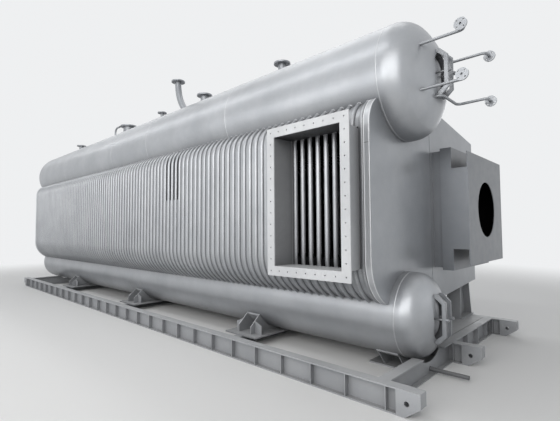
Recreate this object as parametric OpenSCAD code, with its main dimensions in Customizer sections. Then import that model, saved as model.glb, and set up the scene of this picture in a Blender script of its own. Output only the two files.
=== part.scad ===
// Packaged water-tube boiler on a lifting skid: two drums one above the other, a wall of
// bent tubes on the gas side and a D-shaped furnace of the same tubes on the other side.
// +Z is up, the burner end faces -Y, the furnace lies towards +X. The origin is on the floor,
// under the skid's centre beam, at its first stiffener.

/* [Skid] */
// Length of the skid over its lugs
skid_length = 10270; // [9550:360:12070]
// Distance from one long beam to the next
beam_spacing = 1430; // [1300:10:1600]
// Depth of the long beams
beam_depth = 200; // [180:10:250]
// Width of the beam flanges
flange_w = 100; // [80:5:130]
// Thickness of the beam flanges
flange_t = 12; // [8:1:16]
// Thickness of the webs and stiffeners
web_t = 8; // [6:1:12]
// Distance from one stiffener to the next
stiffener_pitch = 360; // [300:10:450]
// Depth of the low cross-beams under the saddles
low_beam_depth = 100; // [80:5:120]
// Radius of the pin hole in each lifting lug
lug_hole_r = 20; // [15:1:25]

/* [Drums] */
// Outer radius of the upper drum
upper_r = 580; // [500:5:620]
// Height of the upper drum's axis
upper_z = 2834; // [2700:2:2950]
// Wall thickness of the upper drum
upper_t = 30; // [20:1:40]
// Outer radius of the lower drum
lower_r = 410; // [360:5:430]
// Height of the lower drum's axis
lower_z = 536; // [536:2:600]
// Wall thickness of the lower drum
lower_t = 25; // [16:1:30]
// Distance of the drums' axes from the skid's centre line
drum_offset = 506; // [480:2:530]
// Width of the manhole openings
manhole_w = 300; // [280:10:340]
// Height of the manhole openings
manhole_h = 400; // [380:10:440]

/* [Tubes] */
// Outer radius of the wall tubes
tube_r = 25.5; // [19:0.5:30]
// Distance from one wall tube to the next
tube_pitch = 100; // [90:2:120]
// Number of tubes in each wall
tube_count = 100; // [60:1:110]
// Distance of the gas-side tubes from the skid's centre line
wall_offset = 1140; // [1120:5:1180]
// Distance of the furnace side tubes from the skid's centre line
furnace_offset = 1614; // [1560:2:1700]

/* [Flue duct] */
// Clear width of the duct mouth
duct_w = 790; // [760:5:800]
// Clear height of the duct mouth
duct_h = 1280; // [1100:10:1290]
// Distance of the duct flange's face from the tube wall's centre plane
duct_reach = 290; // [200:5:330]
// Width of the duct flange's rim
duct_rim = 95; // [80:5:100]

/* [Burner] */
// Width and height of the burner front plate
plate_w = 1300; // [1200:10:1340]
// Radius of the burner throat
throat_r = 325; // [250:5:380]
// Height of the burner axis
burner_z = 1590; // [1540:5:1640]
// Distance of the burner axis from the skid's centre line
burner_x = 850; // [830:5:880]
// Distance of the front plate's face from the casing
burner_reach = 387; // [300:5:450]

/* [Hidden] */

// Round the model's circles finely enough for its size
$fn = 48;
drum_fn = 96;
dish_fn = 192;
// A cut runs this far past the face it goes through
cut = 1;

paint = "silver";
skid_paint = "lightslategray";

// Skid
lug_length = 190;
lug_tip = 275;
lug_nose = 93;
lug_slope = 125;
lug_plate_t = 12;
lug_hole_back = 105;
lug_hole_z = 104;
skid_front = -lug_tip;
skid_rear = skid_length - lug_tip;
stiffener_count = floor((skid_length - 2 * lug_tip) / stiffener_pitch) + 1;
last_stiffener = (stiffener_count - 1) * stiffener_pitch;
front_beam_y = 55;
rear_beam_y = last_stiffener - 55;
bay_w = beam_spacing - flange_w;
cross_stiffener_x = 0.305 * beam_spacing;
cross_stiffener_pitch = 0.256 * beam_spacing;
deck_gap = 6;
drum_clearance = 12;

// Body along the length
casing_y = 267;
casing_t = 10;
band_w = 60;
first_tube_y = casing_y + casing_t + band_w + tube_r + 0.5;
last_tube_y = first_tube_y + (tube_count - 1) * tube_pitch;
rear_casing_y = last_tube_y + first_tube_y - casing_y;

// Drums
drum_x = -drum_offset;
upper_front_y = 245;
lower_front_y = 210;
upper_rear_y = rear_casing_y + casing_y - upper_front_y;
lower_rear_y = rear_casing_y + casing_y - lower_front_y;
skirt = 40;
// Crown and knuckle radii and depth of the dished ends, as shares of the drum radius
crown_share = 1.4;
knuckle_share = 0.4;
dish_share = 0.6;

// Tube walls: the tubes enter the drums pointing at the axis, at these slopes
top_slope = 29.5;
bottom_slope = 23;
roof_slope = 8;
floor_slope = 4;
fin_t = 6;
seat = 0.3;
tube_bite = 8;
side_bend_r = 200;
wall_x = -wall_offset;
wall_reach = drum_x - wall_x;
top_corner_z = upper_z - wall_reach * tan(top_slope);
bottom_corner_z = lower_z + wall_reach * tan(bottom_slope);
top_turn = 90 - top_slope;
bottom_turn = 90 - bottom_slope;
// Each bend ends just inside its drum, so its radius follows from where the wall stands
top_tangent = wall_reach / cos(top_slope) - upper_r + tube_bite;
bottom_tangent = wall_reach / cos(bottom_slope) - lower_r + tube_bite;
top_bend_r = top_tangent / tan(top_turn / 2);
bottom_bend_r = bottom_tangent / tan(bottom_turn / 2);
wall_top_z = top_corner_z - top_tangent;
wall_bottom_z = bottom_corner_z + bottom_tangent;
roof_run = furnace_offset - drum_x;
roof_corner_z = upper_z - roof_run * tan(roof_slope);
floor_corner_z = lower_z + roof_run * tan(floor_slope);
roof_turn = 90 - roof_slope;
floor_turn = 90 - floor_slope;
roof_tangent = side_bend_r * tan(roof_turn / 2);
floor_tangent = side_bend_r * tan(floor_turn / 2);
side_top_z = roof_corner_z - roof_tangent;
side_bottom_z = floor_corner_z + floor_tangent;

// Flue duct
duct_t = 8;
duct_centre_y = first_tube_y + 4.4 * tube_pitch;
duct_centre_z = 1653;
duct_face_x = wall_x - duct_reach;
duct_flange_t = 12;
duct_y0 = duct_centre_y - duct_w / 2;
duct_y1 = duct_centre_y + duct_w / 2;
duct_z0 = duct_centre_z - duct_h / 2;
duct_z1 = duct_centre_z + duct_h / 2;
window_z0 = wall_bottom_z + 5;
window_z1 = min(duct_z1, wall_top_z) - 5;

// Two places where the fins are left out between a few tubes near the wall's top
slot_groups = [[30, 1815], [57, 2110]];
slots_in_group = 4;
slot_side = tube_r - 0.2;
duct_hole_r = 7;
duct_holes_across = 8;
duct_holes_up = 12;

// Casing outline
outer_gap = tube_r + 2.5;
casing_split_x = 150;
// Groove along the joint, in the plates' outer faces
joint_w = 8;
joint_depth = 6;
casing_right_x = furnace_offset + outer_gap;

// Burner box
burner_t = 10;
plate_h = 1230;
rear_box_h = 1360;
neck_h = 890;
rear_box_front = 50;
collar_front = 170;
collar_set_in = 25;
plate_y = casing_y - burner_reach;

// Level-gauge pipes on the upper drum's front head
gauge_pipe_r = 13.5;
gauge_x = 300;
gauge_z = 210;
gauge_reach_y = -440;
gauge_bend_r = 45;
gauge_arm = 60;
// One lower pipe starts on the other side of the axis and crosses below the manhole
gauge_root_x = -94;
gauge_cross_y = -165;
gauge_cross_z = 234;
gauge_flange_r = 52.5;
gauge_flange_t = 14;
gauge_hole_pcd = 75;
gauge_hole_r = 7;

// Places of the nozzles along the upper drum's crown
front_safety_y = 1930;
auxiliary_y = 3660;
gooseneck_y = 4455;
feed_gap = 545;
feed_y = gooseneck_y + feed_gap;
steam_y = 6360;
vent_y = 7020;
rear_safety_y = 9040;
nozzle_rise = 160;
steam_r = 109.5;
steam_wall = 8;
safety_r = 54;
auxiliary_r = 66.5;
nozzle_wall = 5;
feed_r = 30;
feed_wall = 4;
steam_over = 60.5;
steam_lip = 22.5;
steam_flange_t = 24;
steam_bolt_r = 11;
safety_over = 56;
safety_flange_t = 20;
auxiliary_over = 58.5;
auxiliary_flange_t = 22;
feed_over = 52.5;
feed_flange_t = 18;
flange_lip = 20;
bolt_r = 9;

// Supports
saddle_first_y = 2120;
saddle_pitch = 3000;
saddle_half = 270;
end_saddle_y = front_beam_y + flange_w / 2 + saddle_half;
saddle_rib_gap = 214;
saddle_left = -1090;
saddle_plate_t = 16;
rib_t = 12;
gusset_t = 12;
gusset_reach = 110;
gusset_edge = 100;
gusset_rise = 145;
gusset_places = [-942, -130];
cradle_half = 230;
cradle_foot = 70;
pad_t = 12;
leg_first_y = 375;
leg_pitch = (last_stiffener - 2 * leg_first_y) / 3;
leg_depth = 170;
leg_left_x = 1090;
leg_right_x = 1520;

// Blowdown pipe
blowdown_r = 19;
blowdown_wall = 4;
blowdown_z = 48;
blowdown_front = -295;
blowdown_riser_y = 235;
blowdown_bend_r = 45;
blowdown_back = blowdown_riser_y - blowdown_bend_r;

function upper_crown_z() = upper_z + upper_r;

// Push a profile drawn in X and Z along Y, from y0 to y1
module along_y(y0, y1) {
    translate([0, y1, 0])
        rotate([90, 0, 0])
            linear_extrude(y1 - y0)
                children();
}

// A plain box given by its two corners
module box(low, high) {
    translate(low)
        cube(high - low);
}

// An upright oval: two round ends and the straight stretch between them
module oval(w, h) {
    square([w, h - w], center = true);
    for (side = [-1, 1])
        translate([0, side * (h - w) / 2])
            circle(d = w);
}

// Long beam with stiffeners on both sides and a boxed lug at each end
module long_beam(x) {
    web_half = web_t / 2;
    half = flange_w / 2;
    color(skid_paint)
        translate([x, 0, 0]) {
            translate([0, 0, flange_t])
                linear_extrude(beam_depth - 2 * flange_t)
                    beam_comb(half, web_half);
            box([-half, skid_front, beam_depth - flange_t], [half, skid_rear, beam_depth]);
            box([-half, skid_front + lug_slope, 0], [half, skid_rear - lug_slope, flange_t]);
            lug();
            translate([0, skid_front + skid_rear, 0])
                mirror([0, 1, 0])
                    lug();
        }
}

// Plan of the web with its stiffeners
module beam_comb(half, web_half) {
    web_end = skid_front + lug_length;
    translate([-web_half, web_end])
        square([web_t, skid_length - 2 * lug_length]);
    for (i = [0 : stiffener_count - 1])
        translate([-half, i * stiffener_pitch - web_half])
            square([flange_w, web_t]);
}

// Boxed lug: a cheek plate flush with each flange edge, an end plate and a sloping sole
module lug() {
    half = flange_w / 2;
    difference() {
        union() {
            for (side = [-1, 1])
                translate([side * (half - lug_plate_t / 2), 0, 0])
                    rotate([90, 0, 90])
                        linear_extrude(lug_plate_t, center = true)
                            lug_outline(0);
            rotate([90, 0, 90])
                linear_extrude(flange_w, center = true)
                    difference() {
                        lug_outline(0);
                        lug_outline(lug_plate_t);
                    }
        }
        translate([0, skid_front + lug_hole_back, lug_hole_z])
            rotate([0, 90, 0])
                cylinder(r = lug_hole_r, h = flange_w + 2 * cut, center = true);
    }
}

// Side view of a lug in Y and Z, drawn inwards by set_in along its nose and slope
module lug_outline(set_in) {
    slope_in = set_in * 1.3;
    polygon([
        [skid_front + set_in, beam_depth - flange_t],
        [skid_front + set_in, lug_nose + (set_in > 0 ? slope_in / 2 : 0)],
        [skid_front + lug_slope, slope_in],
        [skid_front + lug_length, slope_in],
        [skid_front + lug_length, beam_depth - flange_t]
    ]);
}

// Cross-beam between two long beams, its web run on to theirs
module cross_beam(x0, y, depth) {
    half = flange_w / 2;
    tongue = half - web_t / 2;
    x1 = x0 + bay_w;
    box([x0, y - half, depth - flange_t], [x1, y + half, depth]);
    box([x0, y - half, 0], [x1, y + half, flange_t]);
    box([x0 - tongue, y - web_t / 2, flange_t], [x1 + tongue, y + web_t / 2, depth - flange_t]);
}

// The cross-beams of both bays at one place along the skid
module cross_beam_pair(y, depth) {
    for (bay = [-1, 0])
        cross_beam(bay * beam_spacing + flange_w / 2, y, depth);
}

// Stiffeners of an end cross-beam in the furnace-side bay
module cross_beam_stiffeners(y) {
    for (i = [0 : 2])
        translate([cross_stiffener_x + i * cross_stiffener_pitch, y, flange_t])
            linear_extrude(beam_depth - 2 * flange_t)
                square([web_t, flange_w], center = true);
}

// Hollow cut out of a full-depth cross-beam where the lower drum hangs into it
module drum_cope(y) {
    translate([drum_x, y, lower_z])
        rotate([90, 0, 0])
            cylinder(r = lower_r + drum_clearance, h = flange_w + 2 * cut, center = true);
}

module front_cross_beam() {
    color(skid_paint)
        difference() {
            union() {
                cross_beam_pair(front_beam_y, beam_depth);
                cross_beam_stiffeners(front_beam_y);
            }
            drum_cope(front_beam_y);
            translate([drum_x, front_beam_y, blowdown_z])
                rotate([90, 0, 0])
                    cylinder(r = blowdown_r + 4, h = flange_w, center = true);
        }
}

module rear_cross_beam() {
    color(skid_paint)
        difference() {
            union() {
                cross_beam_pair(rear_beam_y, beam_depth);
                cross_beam_stiffeners(rear_beam_y);
            }
            drum_cope(rear_beam_y);
        }
}

// Low cross-beams that carry the saddles between the skid's ends
module saddle_cross_beams() {
    color(skid_paint)
        for (i = [0 : 2])
            cross_beam_pair(saddle_first_y + i * saddle_pitch, low_beam_depth);
}

// Plate behind the front cross-beam, flush with its top, that the front furnace leg stands over
module leg_deck_plate() {
    half = flange_w / 2;
    deck_back = 600;
    color(skid_paint)
        box([half, front_beam_y + half + deck_gap, beam_depth - flange_t],
            [beam_spacing - half, deck_back, beam_depth]);
}

// Half section of a dished end: skirt, knuckle and crown, drawn inwards by set_in.
// Crown and knuckle meet on the line through both their centres, which slopes 3 across to 4 up
module dish_area(r, set_in) {
    crown = r * crown_share;
    knuckle = r * knuckle_share;
    knuckle_x = r - knuckle;
    over = set_in > 0 ? cut : 0;
    ray = [knuckle_x + r * 3 / 5, r * 4 / 5];
    translate([0, -skirt - over])
        square([r - set_in, skirt + over]);
    intersection() {
        translate([0, dish_depth(r) - crown])
            circle(r = crown - set_in);
        polygon([[0, 0], [knuckle_x, 0], ray, [0, r]]);
    }
    intersection() {
        translate([knuckle_x, 0])
            circle(r = knuckle - set_in);
        polygon([[knuckle_x, 0], ray, [r * 2, r], [r * 2, 0]]);
    }
}

function dish_depth(r) = r * dish_share;

// Dished end with its short straight skirt, facing -Y, tangent line at the origin
module dished_end(r, wall) {
    rotate([90, 0, 0])
        rotate_extrude($fn = drum_fn)
            difference() {
                dish_area(r, 0, $fn = dish_fn);
                dish_area(r, wall, $fn = dish_fn);
            }
}

manhole_rim_t = 18;
manhole_rim_depth = 75;
rim_gap = 3;

// Front end with a manhole: the rim of the opening is turned inwards
module manhole_end(r, wall) {
    depth = dish_depth(r);
    rim_w = manhole_w + 2 * manhole_rim_t;
    rim_h = manhole_h + 2 * manhole_rim_t;
    rim_front = manhole_front(r);
    difference() {
        union() {
            dished_end(r, wall);
            along_y(rim_front, rim_front + manhole_rim_depth)
                oval(rim_w, rim_h);
        }
        along_y(-depth - cut, rim_front + manhole_rim_depth + cut)
            oval(manhole_w, manhole_h);
    }
}

// How far the manhole's rim starts behind the tangent line: where the crown has fallen
// to the rim's outer top edge
function manhole_front(r) =
    let (crown = r * crown_share, reach = manhole_h / 2 + manhole_rim_t)
    -(dish_depth(r) - crown + sqrt(crown * crown - reach * reach)) + rim_gap;

module drum_shell(z, r, wall, y0, y1) {
    translate([drum_x, 0, z])
        along_y(y0, y1)
            difference() {
                circle(r = r, $fn = drum_fn);
                circle(r = r - wall, $fn = drum_fn);
            }
}

module lower_drum_shell() {
    color(paint)
        drum_shell(lower_z, lower_r, lower_t, lower_front_y, lower_rear_y);
}

module lower_drum_front_head() {
    color(paint)
        translate([drum_x, lower_front_y - skirt, lower_z])
            manhole_end(lower_r, lower_t);
}

module lower_drum_rear_head() {
    color(paint)
        translate([drum_x, lower_rear_y + skirt, lower_z])
            mirror([0, 1, 0])
                dished_end(lower_r, lower_t);
}

// Upper drum's barrel with a hole under each nozzle
module upper_drum_shell() {
    color(paint)
        difference() {
            drum_shell(upper_z, upper_r, upper_t, upper_front_y, upper_rear_y);
            crown_hole(front_safety_y, safety_r - nozzle_wall);
            crown_hole(rear_safety_y, safety_r - nozzle_wall);
            crown_hole(auxiliary_y, auxiliary_r - nozzle_wall);
            crown_hole(feed_y, feed_r - feed_wall);
            crown_hole(steam_y, steam_r - steam_wall);
            crown_hole(vent_y, vent_r - vent_wall);
            gooseneck_path(goose_r - goose_wall, cut);
        }
}

module crown_hole(y, r) {
    translate([drum_x, y, upper_z + upper_r / 2])
        cylinder(r = r, h = upper_r);
}

module upper_drum_front_head() {
    color(paint)
        translate([drum_x, upper_front_y - skirt, upper_z])
            manhole_end(upper_r, upper_t);
}

module upper_drum_rear_head() {
    color(paint)
        translate([drum_x, upper_rear_y + skirt, upper_z])
            mirror([0, 1, 0])
                dished_end(upper_r, upper_t);
}

stud_x = 62;
stud_r = 10;
yoke_t = 24;
yoke_stand = 70;
yoke_bar = 34;
seat_lap = 22;
cover_t = 20;
boss_gap = 26;
dome_rise = 34;

// Oval cover on the inner end of the rim, with a raised middle and two studs
module manhole_cover(z, r, front_y) {
    rim_y = front_y - skirt + manhole_front(r);
    seat_y = rim_y + manhole_rim_depth;
    dome_base_y = rim_y + dome_rise;
    stud_front = rim_y - yoke_stand - 60;
    color(paint)
        translate([drum_x, 0, z]) {
            along_y(seat_y, seat_y + cover_t)
                oval(manhole_w + 2 * seat_lap, manhole_h + 2 * seat_lap);
            along_y(dome_base_y, seat_y)
                oval(manhole_w - 2 * boss_gap, manhole_h - 2 * boss_gap);
            translate([0, dome_base_y, 0])
                cover_dome(manhole_w - 2 * boss_gap, manhole_h - manhole_w);
            for (side = [-1, 1])
                translate([side * stud_x, dome_base_y, 0])
                    rotate([90, 0, 0])
                        cylinder(r = stud_r, h = dome_base_y - stud_front);
        }
}

// Long low dome: a barrel vault along Z with a rounded cap at each end, its foot at the origin
module cover_dome(w, straight) {
    r = (w * w / 4 + dome_rise * dome_rise) / (2 * dome_rise);
    intersection() {
        union() {
            translate([0, r - dome_rise, 0])
                cylinder(r = r, h = straight, center = true, $fn = dish_fn);
            for (side = [-1, 1])
                translate([0, r - dome_rise, side * straight / 2])
                    sphere(r = r, $fn = drum_fn);
        }
        along_y(-dome_rise - cut, cut)
            oval(w, w + straight);
    }
}

// Two upright arched bars across the opening, each held by a nut on its stud
module manhole_yokes(z, r, front_y) {
    rim_y = front_y - skirt + manhole_front(r);
    nut_r = 19;
    nut_t = 20;
    color(paint)
        translate([drum_x, 0, z])
            for (side = [-1, 1])
                translate([side * stud_x, rim_y, 0])
                    difference() {
                        union() {
                            rotate([90, 0, 90])
                                linear_extrude(yoke_t, center = true)
                                    yoke_outline();
                            translate([0, -yoke_stand - yoke_bar, 0])
                                rotate([90, 0, 0])
                                    cylinder(r = nut_r, h = nut_t, $fn = 6);
                        }
                        translate([0, -yoke_stand + cut, 0])
                            rotate([90, 0, 0])
                                cylinder(r = stud_r, h = yoke_bar + nut_t + 2 * cut);
                    }
}

// Side view of a yoke: feet on the rim above and below, the bar standing clear of the cover
module yoke_outline() {
    foot = manhole_h / 2 + manhole_rim_t / 2;
    toe = 15;
    shoulder = foot - 70;
    polygon([
        [-rim_gap, foot + toe], [-rim_gap, foot - toe],
        [-yoke_stand, shoulder], [-yoke_stand, -shoulder],
        [-rim_gap, toe - foot], [-rim_gap, -foot - toe],
        [-yoke_stand * 0.5, -foot - toe],
        [-yoke_stand - yoke_bar, -shoulder - toe], [-yoke_stand - yoke_bar, shoulder + toe],
        [-yoke_stand * 0.5, foot + toe]
    ]);
}

module lower_manhole_cover() {
    manhole_cover(lower_z, lower_r, lower_front_y);
}

module lower_manhole_yokes() {
    manhole_yokes(lower_z, lower_r, lower_front_y);
}

module upper_manhole_cover() {
    manhole_cover(upper_z, upper_r, upper_front_y);
}

module upper_manhole_yokes() {
    manhole_yokes(upper_z, upper_r, upper_front_y);
}

// Plan section across a row of tubes and the fins between them
module tube_row() {
    translate([-fin_t / 2, first_tube_y])
        square([fin_t, last_tube_y - first_tube_y]);
    tubes_alone();
}

module tubes_alone() {
    for (i = [0 : tube_count - 1])
        translate([0, first_tube_y + i * tube_pitch])
            circle(r = tube_r, $fn = 32);
}

// The same row with no fins inside the duct's width
module tube_row_at_duct() {
    translate([-fin_t / 2, first_tube_y])
        square([fin_t, duct_y0 - first_tube_y]);
    translate([-fin_t / 2, duct_y1])
        square([fin_t, last_tube_y - duct_y1]);
    tubes_alone();
}

// The row drawn by the children, bent about an axis along Y at x, z, from angle a by turn
module row_bend(x, z, r, a, turn) {
    translate([x, 0, z])
        rotate([90, -a, 0])
            rotate_extrude(angle = turn, $fn = drum_fn)
                translate([r, 0])
                    mirror([0, 1])
                        children();
}

// A straight stretch of the row in the X and Z plane, from x, z along the direction a
module row_straight(x, z, a, length) {
    translate([x, 0, z])
        rotate([0, 90 - a, 0])
            linear_extrude(length)
                tube_row();
}

// The drum that a row of tubes ends on, taken off their ends
module drum_room(z, r) {
    translate([drum_x, 0, z])
        along_y(0, rear_casing_y + casing_y)
            circle(r = r + seat, $fn = drum_fn);
}

// Plan of the gaps between the tubes of one slot group, a little narrower than the fins
module slot_row(first) {
    for (i = [first : first + slots_in_group - 1])
        translate([-fin_t, first_tube_y + i * tube_pitch + slot_side])
            square([2 * fin_t, tube_pitch - 2 * slot_side]);
}

// Upright part of the gas-side wall: tubes and fins, with the fins left out behind the duct
// and in the slots
module gas_wall_tubes() {
    color(paint)
        difference() {
            union() {
                translate([wall_x, 0, wall_bottom_z])
                    linear_extrude(window_z0 - wall_bottom_z)
                        tube_row();
                translate([wall_x, 0, window_z0])
                    linear_extrude(window_z1 - window_z0)
                        tube_row_at_duct();
                translate([wall_x, 0, window_z1])
                    linear_extrude(wall_top_z - window_z1)
                        tube_row();
            }
            for (group = slot_groups)
                translate([wall_x, 0, group[1]])
                    linear_extrude(wall_top_z - group[1] + cut)
                        slot_row(group[0]);
        }
}

module gas_wall_top_bend() {
    color(paint)
        difference() {
            row_bend(wall_x + top_bend_r, wall_top_z, top_bend_r, 180 - top_turn, top_turn)
                tube_row();
            for (group = slot_groups)
                row_bend(wall_x + top_bend_r, wall_top_z, top_bend_r,
                         180 - top_turn - cut, top_turn + 2 * cut)
                    slot_row(group[0]);
            drum_room(upper_z, upper_r);
        }
}

module gas_wall_bottom_bend() {
    color(paint)
        difference() {
            row_bend(wall_x + bottom_bend_r, wall_bottom_z, bottom_bend_r, 180, bottom_turn)
                tube_row();
            drum_room(lower_z, lower_r);
        }
}

module furnace_roof_tubes() {
    length = roof_run / cos(roof_slope) - roof_tangent;
    color(paint)
        difference() {
            row_straight(drum_x, upper_z, -roof_slope, length);
            drum_room(upper_z, upper_r);
        }
}

module furnace_side_tubes() {
    color(paint)
        translate([furnace_offset, 0, side_bottom_z])
            linear_extrude(side_top_z - side_bottom_z)
                tube_row();
}

module furnace_roof_bend() {
    color(paint)
        row_bend(furnace_offset - side_bend_r, side_top_z, side_bend_r, 0, roof_turn)
            tube_row();
}

module furnace_floor_bend() {
    color(paint)
        row_bend(furnace_offset - side_bend_r, side_bottom_z, side_bend_r,
                 -floor_turn, floor_turn)
            tube_row();
}

module furnace_floor_tubes() {
    length = roof_run / cos(floor_slope) - floor_tangent;
    color(paint)
        difference() {
            row_straight(drum_x, lower_z, floor_slope, length);
            drum_room(lower_z, lower_r);
        }
}

// End view of the casing, drawn inwards by set_in and cut round the drums
module casing_area(set_in) {
    gap = outer_gap - set_in;
    roof_lift = gap / cos(roof_slope);
    floor_drop = gap / cos(floor_slope);
    right = furnace_offset + gap;
    run = right - drum_x;
    difference() {
        union() {
            translate([wall_x - gap, wall_bottom_z])
                square([drum_x - wall_x + gap, wall_top_z - wall_bottom_z]);
            translate([wall_x + top_bend_r, wall_top_z])
                circle(r = top_bend_r + gap, $fn = drum_fn);
            translate([wall_x + bottom_bend_r, wall_bottom_z])
                circle(r = bottom_bend_r + gap, $fn = drum_fn);
            polygon([
                [drum_x, lower_z - floor_drop],
                [right, lower_z - floor_drop + run * tan(floor_slope)],
                [right, upper_z + roof_lift - run * tan(roof_slope)],
                [drum_x, upper_z + roof_lift]
            ]);
        }
        translate([drum_x, upper_z])
            circle(r = upper_r + seat, $fn = drum_fn);
        translate([drum_x, lower_z])
            circle(r = lower_r + seat, $fn = drum_fn);
    }
}

// Casing area on one side of the joint between the gas-side casing and the furnace wall,
// kept back from the joint line by gap
module casing_part(left, gap) {
    reach = upper_z + upper_r;
    intersection() {
        casing_area(0);
        translate([casing_split_x + (left ? -reach - gap : gap), 0])
            square([reach, reach]);
    }
}

module front_casing() {
    color(paint) {
        along_y(casing_y, casing_y + joint_depth)
            casing_part(true, joint_w / 2);
        along_y(casing_y + joint_depth, casing_y + casing_t)
            casing_part(true, 0);
    }
}

module furnace_front_wall() {
    color(paint)
        difference() {
            union() {
                along_y(casing_y, casing_y + joint_depth)
                    casing_part(false, joint_w / 2);
                along_y(casing_y + joint_depth, casing_y + casing_t)
                    casing_part(false, 0);
            }
            along_y(casing_y - cut, casing_y + casing_t + cut)
                translate([burner_x, burner_z])
                    circle(r = throat_r, $fn = drum_fn);
        }
}

// Strip that closes the gap between the end plate and the first tube
module edge_band() {
    difference() {
        casing_area(0);
        casing_area(casing_t);
    }
}

module front_edge_band() {
    color(paint)
        along_y(casing_y + casing_t, casing_y + casing_t + band_w)
            edge_band();
}

module rear_edge_band() {
    color(paint)
        along_y(rear_casing_y - casing_t - band_w, rear_casing_y - casing_t)
            edge_band();
}

module rear_casing() {
    color(paint)
        along_y(rear_casing_y - casing_t, rear_casing_y)
            casing_area(0);
}

// Duct plates from the back of the flange to the tube wall
module flue_duct() {
    back = duct_face_x + duct_flange_t;
    tube_face = wall_x - tube_r - seat;
    fin_face = wall_x - fin_t / 2;
    color(paint) {
        box([back, duct_y0 - duct_t, duct_z0 - duct_t], [tube_face, duct_y1 + duct_t, duct_z0]);
        box([back, duct_y0 - duct_t, duct_z1], [tube_face, duct_y1 + duct_t, duct_z1 + duct_t]);
        box([back, duct_y0 - duct_t, duct_z0], [fin_face, duct_y0, duct_z1]);
        box([back, duct_y1, duct_z0], [fin_face, duct_y1 + duct_t, duct_z1]);
    }
}

// Bolted flange of the duct, holes along the middle of its rim
module flue_duct_flange() {
    across = duct_w + duct_rim;
    up = duct_h + duct_rim;
    color(paint)
        translate([duct_face_x, duct_centre_y, duct_centre_z])
            rotate([90, 0, 90])
                linear_extrude(duct_flange_t)
                    difference() {
                        square([duct_w + 2 * duct_rim, duct_h + 2 * duct_rim], center = true);
                        square([duct_w, duct_h], center = true);
                        for (i = [0 : duct_holes_across], side = [-1, 1])
                            translate([(i / duct_holes_across - 0.5) * across, side * up / 2])
                                circle(r = duct_hole_r, $fn = 24);
                        for (i = [1 : duct_holes_up - 1], side = [-1, 1])
                            translate([side * across / 2, (i / duct_holes_up - 0.5) * up])
                                circle(r = duct_hole_r, $fn = 24);
                    }
}

// Rectangular ring in X and Z about the burner axis
module burner_ring(w, h, wall) {
    translate([burner_x, burner_z])
        difference() {
            square([w, h], center = true);
            square([w - 2 * wall, h - 2 * wall], center = true);
        }
}

// Tall rear part of the burner box on a collar that is set in from it
module burner_rear_box() {
    color(paint) {
        along_y(collar_front, casing_y)
            burner_ring(plate_w - 2 * collar_set_in, rear_box_h - 2 * collar_set_in, burner_t);
        along_y(collar_front - burner_t, collar_front)
            burner_ring(plate_w, rear_box_h, collar_set_in + burner_t);
        along_y(rear_box_front, collar_front - burner_t)
            burner_ring(plate_w, rear_box_h, burner_t);
        along_y(rear_box_front, rear_box_front + burner_t)
            translate([burner_x, burner_z])
                difference() {
                    square([plate_w, rear_box_h], center = true);
                    square([plate_w - 2 * burner_t, neck_h - 2 * burner_t], center = true);
                }
    }
}

module burner_neck() {
    color(paint)
        along_y(plate_y + burner_t, rear_box_front)
            burner_ring(plate_w, neck_h, burner_t);
}

module burner_front_plate() {
    color(paint)
        along_y(plate_y, plate_y + burner_t)
            translate([burner_x, burner_z])
                difference() {
                    square([plate_w, plate_h], center = true);
                    circle(r = throat_r, $fn = drum_fn);
                }
}

// Flat ring flange with bolt holes, bore open, its lower face at the origin
module ring_flange(r, bore_r, t, pcd, holes, hole_r) {
    difference() {
        cylinder(r = r, h = t);
        translate([0, 0, -cut])
            cylinder(r = bore_r, h = t + 2 * cut);
        for (i = [0 : holes - 1])
            rotate([0, 0, (i + 0.5) * 360 / holes])
                translate([pcd / 2, 0, -cut])
                    cylinder(r = hole_r, h = t + 2 * cut, $fn = 24);
    }
}

// Open pipe standing on the upper drum's crown, its foot cut to the drum
module crown_pipe(y, pipe_r, wall, height) {
    difference() {
        translate([drum_x, y, upper_z + upper_r / 2])
            difference() {
                cylinder(r = pipe_r, h = upper_r / 2 + height);
                cylinder(r = pipe_r - wall, h = upper_r / 2 + height + cut);
            }
        drum_room(upper_z, upper_r);
    }
}

// Flanged nozzle on the crown; over is how far the flange stands out from the pipe and
// lip how far its edge stands out from the bolt circle
module crown_nozzle(y, pipe_r, wall, over, lip, thick, bolts, bolt_r) {
    color(paint) {
        crown_pipe(y, pipe_r, wall, nozzle_rise - thick);
        translate([drum_x, y, upper_crown_z() + nozzle_rise - thick])
            ring_flange(pipe_r + over, pipe_r - wall, thick, 2 * (pipe_r + over - lip),
                        bolts, bolt_r);
    }
}

module steam_outlet_nozzle() {
    crown_nozzle(steam_y, steam_r, steam_wall, steam_over, steam_lip, steam_flange_t,
                 12, steam_bolt_r);
}

module safety_valve_nozzles() {
    for (y = [front_safety_y, rear_safety_y])
        crown_nozzle(y, safety_r, nozzle_wall, safety_over, flange_lip, safety_flange_t,
                     8, bolt_r);
}

module auxiliary_nozzle() {
    crown_nozzle(auxiliary_y, auxiliary_r, nozzle_wall, auxiliary_over, flange_lip,
                 auxiliary_flange_t, 8, bolt_r);
}

module feed_water_nozzle() {
    crown_nozzle(feed_y, feed_r, feed_wall, feed_over, flange_lip, feed_flange_t, 4, bolt_r);
}

// Part of a pipe bend: centre line radius r, swept by turn degrees from +X in the X and Y plane
module pipe_bend(r, pipe_r, wall, turn) {
    rotate_extrude(angle = turn, $fn = drum_fn)
        translate([r, 0])
            difference() {
                circle(r = pipe_r, $fn = 32);
                circle(r = pipe_r - wall, $fn = 32);
            }
}

goose_r = 54;
goose_wall = 6;
goose_turn = 70;
goose_bend_r = 700;
goose_root = 98;
goose_top = 25;
goose_over = 63.5;
goose_lip = 22.5;
goose_flange_t = 20;
goose_bolt_r = 11;
goose_bend_z = upper_crown_z() - goose_root + goose_bend_r * sin(goose_turn);

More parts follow.
